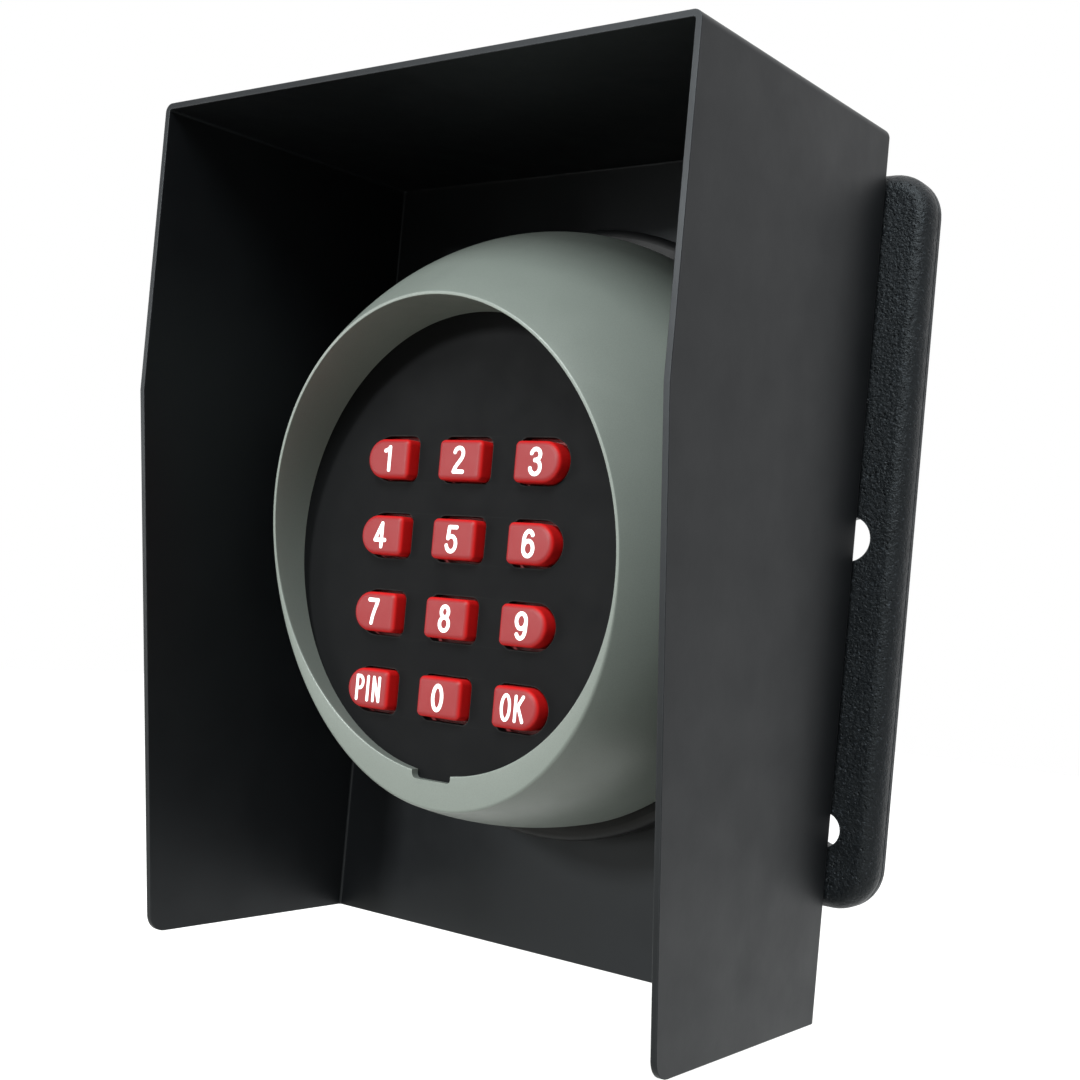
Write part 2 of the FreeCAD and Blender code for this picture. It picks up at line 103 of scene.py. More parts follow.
# ======================================================================
# Node materials
# ======================================================================
class Mat:
    """Small helper round one node tree."""

    def __init__(self, name):
        m = bpy.data.materials.new(name)
        m.use_nodes = True
        self.m = m
        self.nt = m.node_tree
        self.nt.nodes.clear()
        self.out = self.n("ShaderNodeOutputMaterial")
        self.b = self.n("ShaderNodeBsdfPrincipled")
        self.nt.links.new(self.b.outputs[0], self.out.inputs[0])
        self.tc = self.n("ShaderNodeTexCoord")

    def n(self, kind, **kw):
        nd = self.nt.nodes.new(kind)
        for k, v in kw.items():
            setattr(nd, k, v)
        return nd

    def link(self, a, b):
        self.nt.links.new(a, b)

    def noise(self, scale, detail=4.0, rough=0.55, dist=0.0):
        t = self.n("ShaderNodeTexNoise")
        t.inputs["Scale"].default_value = scale
        t.inputs["Detail"].default_value = detail
        t.inputs["Roughness"].default_value = rough
        t.inputs["Distortion"].default_value = dist
        self.link(self.tc.outputs["Object"], t.inputs["Vector"])
        return t.outputs["Fac"]

    def voronoi(self, scale, feature="F1"):
        t = self.n("ShaderNodeTexVoronoi", feature=feature)
        t.inputs["Scale"].default_value = scale
        self.link(self.tc.outputs["Object"], t.inputs["Vector"])
        return t.outputs["Distance"]

    def ramp(self, fac, stops):
        r = self.n("ShaderNodeValToRGB")
        els = r.color_ramp.elements
        while len(els) > 1:
            els.remove(els[0])
        els[0].position, els[0].color = stops[0][0], stops[0][1]
        for p, c in stops[1:]:
            e = els.new(p)
            e.color = c
        self.link(fac, r.inputs["Fac"])
        return r.outputs["Color"]

    def remap(self, fac, a, b, lo, hi):
        r = self.n("ShaderNodeMapRange")
        r.inputs["From Min"].default_value = a
        r.inputs["From Max"].default_value = b
        r.inputs["To Min"].default_value = lo
        r.inputs["To Max"].default_value = hi
        self.link(fac, r.inputs["Value"])
        return r.outputs["Result"]

    def mix(self, fac, a, b, blend="MIX"):
        x = self.n("ShaderNodeMix", data_type="RGBA", blend_type=blend)
        self.link(fac, x.inputs[0])
        for s, v in ((x.inputs[6], a), (x.inputs[7], b)):
            if isinstance(v, tuple):
                s.default_value = v
            else:
                self.link(v, s)
        return x.outputs[2]

    def math(self, op, a, b):
        x = self.n("ShaderNodeMath", operation=op)
        for s, v in ((x.inputs[0], a), (x.inputs[1], b)):
            if isinstance(v, (int, float)):
                s.default_value = v
            else:
                self.link(v, s)
        return x.outputs[0]

    def edges(self, radius=0.0006, lo=0.03, hi=0.22, samples=6):
        """White where the surface turns a corner, black on the flats."""
        bv = self.n("ShaderNodeBevel", samples=samples)
        bv.inputs["Radius"].default_value = radius
        ge = self.n("ShaderNodeNewGeometry")
        d = self.n("ShaderNodeVectorMath", operation="DISTANCE")
        self.link(bv.outputs["Normal"], d.inputs[0])
        self.link(ge.outputs["Normal"], d.inputs[1])
        return self.remap(d.outputs["Value"], lo, hi, 0.0, 1.0)

    def bump(self, height, strength, distance, normal=None):
        b = self.n("ShaderNodeBump")
        b.inputs["Strength"].default_value = strength
        b.inputs["Distance"].default_value = distance
        self.link(height, b.inputs["Height"])
        if normal is not None:
            self.link(normal, b.inputs["Normal"])
        return b.outputs["Normal"]


def lin(c):
    """8-bit display colour to a linear RGBA tuple."""
    out = []
    for v in c:
        v /= 255.0
        out.append(v / 12.92 if v <= 0.04045 else ((v + 0.055) / 1.055) ** 2.4)
    return (out[0], out[1], out[2], 1.0)


def lvl(c, k):
    return (c[0] * k, c[1] * k, c[2] * k, 1.0)


def paint(name, base, vary=0.14, rough=(0.38, 0.5), bump=0.12, grain=2600.0,
          metallic=0.0, spec=0.5, edge=None, edge_radius=0.0005, coat=0.0,
          cloud=55.0, specks=None, orange=0.0, coat_rough=0.2, bump_dist=0.00004,
          tint=(1.0, 1.0, 1.0, 1.0)):
    """Coated or moulded surface: cloudy colour, fine grain, edges lightened as wear and as a painted highlight."""
    m = Mat(name)
    cloud_f = m.noise(cloud, 5.0, 0.6)
    col = m.ramp(cloud_f, [(0.30, lvl(base, 1.0 - vary)), (0.55, base), (0.75, lvl(base, 1.0 + vary))])
    grain_f = m.noise(grain, 3.0, 0.6)
    if specks:
        sp = m.noise(specks[0], 2.0, 0.5)
        spf = m.remap(sp, specks[1], specks[1] + specks[3], 0.0, 1.0)
        col = m.mix(spf, col, specks[2])
    # edges, concave folds included, are painted lighter: partly wear, partly a painted edge highlight
    if edge:
        ef = m.edges(edge_radius)
        breakup = m.remap(m.noise(420.0, 5.0, 0.65), 0.35, 0.62, 0.25, 1.0)
        worn_edge_and_highlight = m.math("MULTIPLY", ef, breakup)
        worn_edge_and_highlight = m.math("MULTIPLY", worn_edge_and_highlight, edge[1])
        col = m.mix(worn_edge_and_highlight, col, edge[0])
    m.link(col, m.b.inputs["Base Color"])
    rg = m.remap(m.noise(cloud * 3.1, 6.0, 0.62), 0.3, 0.7, rough[0], rough[1])
    m.link(rg, m.b.inputs["Roughness"])
    h = grain_f
    nrm = m.bump(h, bump, bump_dist)
    if orange:
        nrm = m.bump(m.noise(620.0, 2.0, 0.45), orange, 0.0001, nrm)
    m.link(nrm, m.b.inputs["Normal"])
    m.b.inputs["Metallic"].default_value = metallic
    m.b.inputs["Specular IOR Level"].default_value = spec
    m.b.inputs["Specular Tint"].default_value = tint
    if coat:
        m.b.inputs["Coat Weight"].default_value = coat
        m.b.inputs["Coat Roughness"].default_value = coat_rough
    return m.m


def metal(name, base, rough=(0.22, 0.4), grain=1800.0, bump=0.1, vary=0.1, brushed=None):
    m = Mat(name)
    f = m.noise(90.0, 6.0, 0.62)
    col = m.ramp(f, [(0.28, lvl(base, 1.0 - vary * 1.5)), (0.5, base), (0.74, lvl(base, 1.0 + vary))])
    # edges painted 45% brighter than the base: a painted edge highlight
    ef = m.edges(0.0003)
    col = m.mix(m.math("MULTIPLY", ef, 0.45), col, lvl(base, 1.45))
    m.link(col, m.b.inputs["Base Color"])
    m.link(m.remap(m.noise(380.0, 5.0, 0.6), 0.3, 0.7, rough[0], rough[1]), m.b.inputs["Roughness"])
    m.link(m.bump(m.noise(grain, 3.0, 0.6), bump, 0.00003), m.b.inputs["Normal"])
    m.b.inputs["Metallic"].default_value = 1.0
    return m.m


MATS = {
    # powder-coated sheet, satin charcoal
    "hood_coat": paint("hood_coat_satin", (0.0042, 0.0047, 0.0055, 1.0), vary=0.12, rough=(0.38, 0.48), bump=0.10,
                       grain=3400.0, spec=0.25, edge=(lin((66, 68, 71)), 0.16), edge_radius=0.00035,
                       cloud=26.0, orange=0.10, tint=(0.90, 0.955, 1.0, 1.0)),
    "foam_rubber": paint("foam_rubber_black", lin((24, 25, 26)), vary=0.2, rough=(0.85, 0.95), bump=0.5,
                         grain=1500.0, spec=0.2),
    "black_plastic": paint("base_plastic_black", lin((16, 17, 18)), vary=0.12, rough=(0.42, 0.55), bump=0.16,
                           grain=2600.0, spec=0.20, edge=(lin((62, 66, 66)), 0.15), cloud=60.0),
    "seal_rubber": paint("seal_rubber_black", lin((15, 15, 16)), vary=0.2, rough=(0.7, 0.85), bump=0.25,
                         grain=1800.0, spec=0.3),
    "mat_silicone": paint("mat_silicone_grey", lin((92, 96, 100)), vary=0.1, rough=(0.6, 0.75), bump=0.12,
                          grain=1500.0, spec=0.35),
    "chip_plastic": paint("chip_epoxy_black", lin((24, 24, 26)), vary=0.15, rough=(0.5, 0.65), bump=0.25,
                          grain=4200.0),
    "buzzer_plastic": paint("buzzer_plastic_black", lin((20, 20, 21)), vary=0.12, rough=(0.4, 0.55), bump=0.15,
                            grain=2400.0),
    "holder_plastic": paint("holder_plastic_black", lin((30, 30, 32)), vary=0.12, rough=(0.4, 0.55), bump=0.15,
                            grain=2400.0),
    "cell_jacket": paint("cell_jacket_green", lin((44, 92, 66)), vary=0.1, rough=(0.25, 0.38), bump=0.05,
                         grain=900.0, coat=0.3),
    "dome_steel": metal("dome_spring_steel", lin((196, 196, 192)), rough=(0.15, 0.28)),
    "screw_steel": metal("screw_zinc", lin((176, 178, 176)), rough=(0.25, 0.42)),
    "bolt_steel": metal("bolt_zinc", lin((172, 174, 172)), rough=(0.25, 0.42)),
    "nut_steel": metal("nut_zinc", lin((166, 168, 164)), rough=(0.28, 0.45)),
    "lock_steel": metal("lock_screw_stainless", lin((186, 188, 188)), rough=(0.2, 0.36)),
    "contact_metal": metal("contact_nickel", lin((204, 200, 188)), rough=(0.2, 0.34)),
}


def plate_material():
    """Textured powder coat: coarse peel, small pits painted dark as painted shade, paler highs from wear, edges
    lightened as wear and painted highlight.
    """
    m = Mat("plate_coat_textured")
    base = (0.0034, 0.0042, 0.0051, 1.0)
    col = m.ramp(m.noise(70.0, 5.0, 0.6), [(0.3, lvl(base, 0.8)), (0.55, base), (0.78, lvl(base, 1.25))])
    pit = m.voronoi(1150.0)
    pits = m.remap(pit, 0.10, 0.34, 0.0, 1.0)
    gate = m.remap(m.noise(900.0, 3.0, 0.6), 0.46, 0.56, 0.0, 1.0)
    hollow = m.math("MULTIPLY", m.math("SUBTRACT", 1.0, pits), gate)
    # the pit mask darkens the colour in the hollows: painted shade
    col = m.mix(m.math("MULTIPLY", hollow, 0.85), col, lvl(base, 0.25))
    high = m.remap(m.noise(2300.0, 2.0, 0.5), 0.62, 0.74, 0.0, 0.8)
    col = m.mix(high, col, lin((50, 55, 60)))
    # edges painted lighter: partly wear, partly a painted edge highlight
    worn_edge_and_highlight = m.math("MULTIPLY", m.edges(0.0006, 0.06, 0.4), m.remap(m.noise(420.0, 5.0, 0.65), 0.4, 0.6, 0.1, 0.5))
    col = m.mix(worn_edge_and_highlight, col, lin((64, 68, 72)))
    m.link(col, m.b.inputs["Base Color"])
    m.link(m.remap(m.noise(300.0, 5.0, 0.6), 0.3, 0.7, 0.36, 0.52), m.b.inputs["Roughness"])
    nrm = m.bump(m.noise(1300.0, 4.0, 0.6), 0.9, 0.00030)
    nrm = m.bump(m.math("SUBTRACT", 1.0, hollow), 0.9, 0.0002, nrm)
    m.link(nrm, m.b.inputs["Normal"])
    m.b.inputs["Specular IOR Level"].default_value = 0.26
    m.b.inputs["Specular Tint"].default_value = (0.86, 0.94, 1.0, 1.0)
    return m.m


MATS["plate_coat"] = plate_material()


def board_material():
    m = Mat("board_laminate_green")
    base = lin((22, 74, 46))
    f = m.noise(70.0, 5.0, 0.6)
    col = m.ramp(f, [(0.3, lvl(base, 0.82)), (0.55, base), (0.8, lvl(base, 1.2))])
    w = m.n("ShaderNodeTexWave", wave_type="BANDS", bands_direction="X")
    w.inputs["Scale"].default_value = 260.0
    w.inputs["Distortion"].default_value = 1.5
    m.link(m.tc.outputs["Object"], w.inputs["Vector"])
    tr = m.remap(w.outputs["Fac"], 0.86, 0.95, 0.0, 0.4)
    col = m.mix(tr, col, lin((48, 112, 66)))
    m.link(col, m.b.inputs["Base Color"])
    m.link(m.remap(m.noise(300.0), 0.3, 0.7, 0.25, 0.4), m.b.inputs["Roughness"])
    m.link(m.bump(w.outputs["Fac"], 0.12, 0.00004), m.b.inputs["Normal"])
    m.b.inputs["Coat Weight"].default_value = 0.3
    return m.m


MATS["board_laminate"] = board_material()


def shell_material():
    """Satin metallic grey paint with a faint green cast and a fine flake."""
    m = Mat("shell_metallic_paint")
    base = lin((102, 109, 104))
    f = m.noise(22.0, 4.0, 0.55)
    col = m.ramp(f, [(0.3, lvl(base, 0.95)), (0.55, base), (0.8, lvl(base, 1.05))])
    flake = m.voronoi(5200.0)
    ff = m.remap(flake, 0.05, 0.75, 1.0, 0.0)
    col = m.mix(m.math("MULTIPLY", ff, 0.12), col, lin((146, 154, 148)))
    # edges painted lighter: partly paint wear, partly a painted highlight on the lip and rim
    ef = m.edges(0.0004, 0.08, 0.7)
    worn_edge_and_highlight = m.math("MULTIPLY", ef, m.remap(m.noise(360.0, 5.0, 0.65), 0.45, 0.62, 0.0, 0.18))
    col = m.mix(worn_edge_and_highlight, col, lin((160, 164, 157)))
    m.link(col, m.b.inputs["Base Color"])
    m.link(m.remap(m.noise(160.0, 5.0, 0.6), 0.3, 0.7, 0.36, 0.46), m.b.inputs["Roughness"])
    nrm = m.bump(m.noise(3800.0, 2.0, 0.5), 0.07, 0.00003)
    nrm = m.bump(m.noise(520.0, 2.0, 0.4), 0.05, 0.0001, nrm)
    m.link(nrm, m.b.inputs["Normal"])
    m.b.inputs["Metallic"].default_value = 0.12
    m.b.inputs["Specular IOR Level"].default_value = 0.5
    m.b.inputs["Coat Weight"].default_value = 0.06
    m.b.inputs["Coat Roughness"].default_value = 0.3
    return m.m


MATS["shell_paint"] = shell_material()
MATS["face_plastic"] = paint("face_plastic_charcoal", (0.0029, 0.0032, 0.0036, 1.0), vary=0.07, rough=(0.62, 0.74),
                             bump=0.14, grain=3600.0, spec=0.085, edge=(lin((80, 82, 80)), 0.35),
                             edge_radius=0.00025, cloud=40.0)


def key_material():
    """Soft red moulded rubber-like plastic; colour painted by facing as light and shade: brighter, more saturated
    sides, a darker, pinker front-facing top, and pale edges as a painted highlight.
    """
    m = Mat("key_plastic_red")
    top, side = lin((120, 30, 33)), lin((178, 14, 14))
    geo = m.n("ShaderNodeNewGeometry")
    sep = m.n("ShaderNodeSeparateXYZ")
    m.link(geo.outputs["Normal"], sep.inputs[0])
    # brighter, more saturated red on the side walls, darker, pinker red on the front-facing top: painted light and
    # shade by facing
    facing_shade_mask = m.remap(m.math("MULTIPLY", sep.outputs["Y"], -1.0), 0.55, 0.97, 0.0, 1.0)
    col = m.mix(facing_shade_mask, side, top)
    f = m.remap(m.noise(140.0, 5.0, 0.6), 0.3, 0.75, 0.0, 0.16)
    col = m.mix(f, col, lin((112, 25, 27)))
    # pale pink edge line: a painted edge highlight
    ef = m.math("MULTIPLY", m.edges(0.0003, 0.05, 0.4), 0.10)
    col = m.mix(ef, col, lin((170, 84, 84)))
    m.link(col, m.b.inputs["Base Color"])
    m.link(m.remap(m.noise(320.0, 5.0, 0.6), 0.3, 0.7, 0.44, 0.56), m.b.inputs["Roughness"])
    m.link(m.bump(m.noise(3600.0, 3.0, 0.6), 0.12, 0.00004), m.b.inputs["Normal"])
    m.b.inputs["Specular IOR Level"].default_value = 0.28
    m.b.inputs["Subsurface Weight"].default_value = 0.06
    m.b.inputs["Subsurface Radius"].default_value = (0.0012, 0.0003, 0.0003)
    m.b.inputs["Subsurface Scale"].default_value = 0.5
    return m.m


MATS["key_plastic"] = key_material()


def legend_material():
    m = Mat("legend_white_print")
    base = lin((238, 238, 238))
    f = m.noise(900.0, 5.0, 0.65)
    col = m.ramp(f, [(0.25, lin((206, 200, 200))), (0.45, base), (0.8, lin((250, 250, 250)))])
    m.link(col, m.b.inputs["Base Color"])
    m.link(m.remap(m.noise(700.0), 0.3, 0.7, 0.42, 0.58), m.b.inputs["Roughness"])
    m.link(m.bump(m.noise(4200.0, 3.0, 0.6), 0.10, 0.00002), m.b.inputs["Normal"])
    return m.m


LEGEND = legend_material()

# record: which slot each node wears
slot_of = {}
for mrow in frame["record"].get("materials", []):
    for n in mrow.get("nodes", []) or []:
        slot_of[n] = mrow["slot"]


def dress(ob, slot_name, body=None):
    ob.data.materials.clear()
    ob.data.materials.append(MATS[slot_name])
    if body:
        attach(ob, body)


# ======================================================================
# Hood: folded sheet, rounded folds, broken edges, drilled back
# ======================================================================
def arc_pts(cx, cz, r, a0, a1, n):
    return [(cx + r * math.cos(a0 + (a1 - a0) * i / n), cz + r * math.sin(a0 + (a1 - a0) * i / n)) for i in range(n + 1)]


def build_hood():
    W2 = HOOD_W / 2
    t = SHEET
    ro, ri = BEND_R, BEND_R - SHEET
    slope = (HOOD_Z1_BACK - HOOD_Z1_FRONT) / (HOOD_BACK_Y - HOOD_FRONT_Y)

    # side outline in (y, z), front edge tapering below the kink
    def outline(inset, y_back, z_bottom, z_top_back, y_front_shift, straight):
        pts = []
        if straight:
            yf = HOOD_FRONT_Y - 6
            zt_f = z_top_back + slope * (yf - y_back)
            return [(y_back, z_bottom), (yf, z_bottom), (yf, zt_f), (y_back, z_top_back)]
        p_bb, p_fb = Vector((y_back, z_bottom)), Vector((HOOD_FOOT_Y, z_bottom))
        p_k = Vector((HOOD_FRONT_Y, HOOD_KINK_Z))
        u1, u2 = (p_bb - p_fb).normalized(), (p_k - p_fb).normalized()
        half = 0.5 * u1.angle(u2)
        d = HOOD_FOOT_R / math.tan(half)
        a, b = p_fb + u1 * d, p_fb + u2 * d
        c = p_fb + (u1 + u2).normalized() * (HOOD_FOOT_R / math.sin(half))
        a0, a1 = math.atan2(a.y - c.y, a.x - c.x), math.atan2(b.y - c.y, b.x - c.x)
        if a1 - a0 > math.pi:
            a1 -= 2 * math.pi
        if a0 - a1 > math.pi:
            a1 += 2 * math.pi
        arc = [(c.x + HOOD_FOOT_R * math.cos(a0 + (a1 - a0) * i / 12), c.y + HOOD_FOOT_R * math.sin(a0 + (a1 - a0) * i / 12)) for i in range(13)]
        return [(y_back, z_bottom)] + arc + [(HOOD_FRONT_Y, HOOD_KINK_Z), (HOOD_FRONT_Y, HOOD_Z1_FRONT), (y_back, z_top_back)]

    def prism(name, pts, x):
        bm = bmesh.new()
        L = [bm.verts.new((-x * MM, p[0] * MM, p[1] * MM)) for p in pts]
        R = [bm.verts.new((x * MM, p[0] * MM, p[1] * MM)) for p in pts]
        n = len(pts)
        bm.faces.new(L)
        bm.faces.new(list(reversed(R)))
        for i in range(n):
            j = (i + 1) % n
            bm.faces.new((L[j], L[i], R[i], R[j]))
        bmesh.ops.recalc_face_normals(bm, faces=bm.faces)
        return bm

    def bevel_edges(bm, test, r, seg):
        es = [e for e in bm.edges if test(e)]
        bmesh.ops.bevel(bm, geom=es, offset=r * MM, offset_type="OFFSET", segments=seg, profile=0.5,
                        affect="EDGES", clamp_overlap=False)

    def mid(e):
        return (e.verts[0].co + e.verts[1].co) / 2 / MM

    def direction(e):
        return (e.verts[1].co - e.verts[0].co).normalized()

    # outer skin
    bmo = prism("o", outline(0, HOOD_BACK_Y, HOOD_Z0, HOOD_Z1_BACK, 0, False), W2)

    def fold(e, yb, ztop):
        m_, d_ = mid(e), direction(e)
        if abs(m_.y - yb) < 0.01 and abs(d_.z) > 0.99:
            return True                      # back to side
        if abs(m_.y - yb) < 0.01 and abs(d_.x) > 0.99 and m_.z > 50:
            return True                      # back to roof
        if abs(d_.y) > 0.98 and m_.z > 60:
            return True                      # side to roof
        return False

    bevel_edges(bmo, lambda e: fold(e, HOOD_BACK_Y, HOOD_Z1_BACK), ro, 8)
    outer = mesh_object("hood_outer_tool", bmo)

    yb = HOOD_BACK_Y - t
    zt_b = HOOD_Z1_BACK - t - slope * t
    bmi = prism("i", outline(0, yb, HOOD_Z0 - 5, zt_b, 0, True), W2 - t)
    bevel_edges(bmi, lambda e: fold(e, yb, zt_b), ri, 6)
    inner = mesh_object("hood_inner_tool", bmi)

    cut = outer.modifiers.new("cut", "BOOLEAN")
    cut.operation, cut.object, cut.solver = "DIFFERENCE", inner, "EXACT"
    apply_modifiers(outer)
    bpy.data.objects.remove(inner)
    # assembly bolts through the back
    for sx in (-1, 1):
        for sz in (-1, 1):
            bm = bmesh.new()
            bmesh.ops.create_cone(bm, cap_ends=True, segments=40, radius1=(BOLT_R + 0.15) * MM, radius2=(BOLT_R + 0.15) * MM, depth=6 * MM,
                                  matrix=Matrix.Translation((sx * BOLT_X * MM, (HOOD_BACK_Y - 0.6) * MM, (KP_Z + sz * BOLT_DZ) * MM)) @ Matrix.Rotation(math.pi / 2, 4, "X"))
            c = mesh_object("hood_drill_tool", bm, False)
            mod = outer.modifiers.new("drill", "BOOLEAN")
            mod.operation, mod.object, mod.solver = "DIFFERENCE", c, "EXACT"
            apply_modifiers(outer)
            bpy.data.objects.remove(c)
    # broken sheet edges
    bv = outer.modifiers.new("edge", "BEVEL")
    bv.limit_method, bv.angle_limit = "ANGLE", math.radians(50)
    bv.width, bv.segments, bv.offset_type = 0.32 * MM, 3, "OFFSET"
    bv.use_clamp_overlap = True
    bv.harden_normals = False
    apply_modifiers(outer)
    me = outer.data
    for p in me.polygons:
        p.use_smooth = True
    outer.name = "hood_sheet"
    me.name = "hood_sheet"
    wn = outer.modifiers.new("wn", "WEIGHTED_NORMAL")
    wn.weight, wn.keep_sharp, wn.mode = 100, True, "FACE_AREA"
    apply_modifiers(outer)
    return outer


hood = build_hood()
dress(hood, "hood_coat", "housing")
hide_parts("hood_shell")

# ======================================================================
# Shell: skirt, dome, soft rim, lip, bore
# ======================================================================
NA = 256


def pt_rim(a, rx, rzu, rzd, y):
    s, c = math.sin(a), math.cos(a)
    v = (rzu if s >= 0 else rzd) * s
    return Vector((rx * c, y - v * ST, RIM_Z + v * CT))


def smooth_path(pts, rads, seg=6):
    """Polyline with rounded corners; rads[i] rounds the corner at pts[i]."""
    out = [pts[0].copy()]
    for i in range(1, len(pts) - 1):
        r = rads[i]
        p, a, b = pts[i], pts[i - 1], pts[i + 1]
        if r <= 0:
            out.append(p.copy())
            continue
        u, v = (a - p), (b - p)
        lu, lv = u.length, v.length
        u.normalize()
        v.normalize()
        ang = u.angle(v)
        d = min(r / math.tan(ang / 2), lu * 0.48, lv * 0.48)
        p0, p1 = p + u * d, p + v * d
        for k in range(seg + 1):
            t = k / seg
            out.append(p0 * (1 - t) ** 2 + p * 2 * t * (1 - t) + p1 * t * t)
    out.append(pts[-1].copy())
    return out


def shell_profile(a):
    """Closed section of the shell at angle a, from the skirt's rear edge outside round to inside."""
    c, s = math.cos(a), math.sin(a)

    def flat(rx, rz, y):
        return Vector((rx * c, y, KP_Z + rz * s))

    def dome_pts(inset, n, t0=0.0):
        rx, rzu, rzd = BORE_RX + LIP - inset * 0.75, BORE_RZ + LIP - inset * 0.75, BORE_RZ + FACET - inset * 0.75
        rim = pt_rim(a, rx, rzu, rzd, RIM_Y + inset)
        base = flat(SKIRT_RX - inset, SKIRT_RZ - inset, DOME_Y)
        pts = []
        for k in range(n + 1):
            t = math.sin(0.5 * math.pi * (t0 + (1 - t0) * k / n))
            rho = 1 - t * t
            pts.append(Vector((rim.x + (base.x - rim.x) * rho, base.y + (rim.y - base.y) * t, rim.z + (base.z - rim.z) * rho)))
        return pts, rim

    outer, rim = dome_pts(0.0, 40)
    # bore point in the rim plane at this angle, straight in front of the bore ellipse
    bx, bz = BORE_RX * c, BORE_RZ * CT * s
    v = bz / CT
    bore_front = Vector((bx, RIM_Y - v * ST, RIM_Z + bz))
    bore_back = Vector((bx, FACE_Y, RIM_Z + bz))
    # outside of the tube behind the lip
    tx, tz = (BORE_RX + 1.7) * c, (BORE_RZ * CT + 1.7) * s
    tube_back = Vector((tx, FACE_Y, RIM_Z + tz))
    inner, rimi = dome_pts(SHELL_T, 24)
    return outer, bore_front, bore_back, tube_back, inner


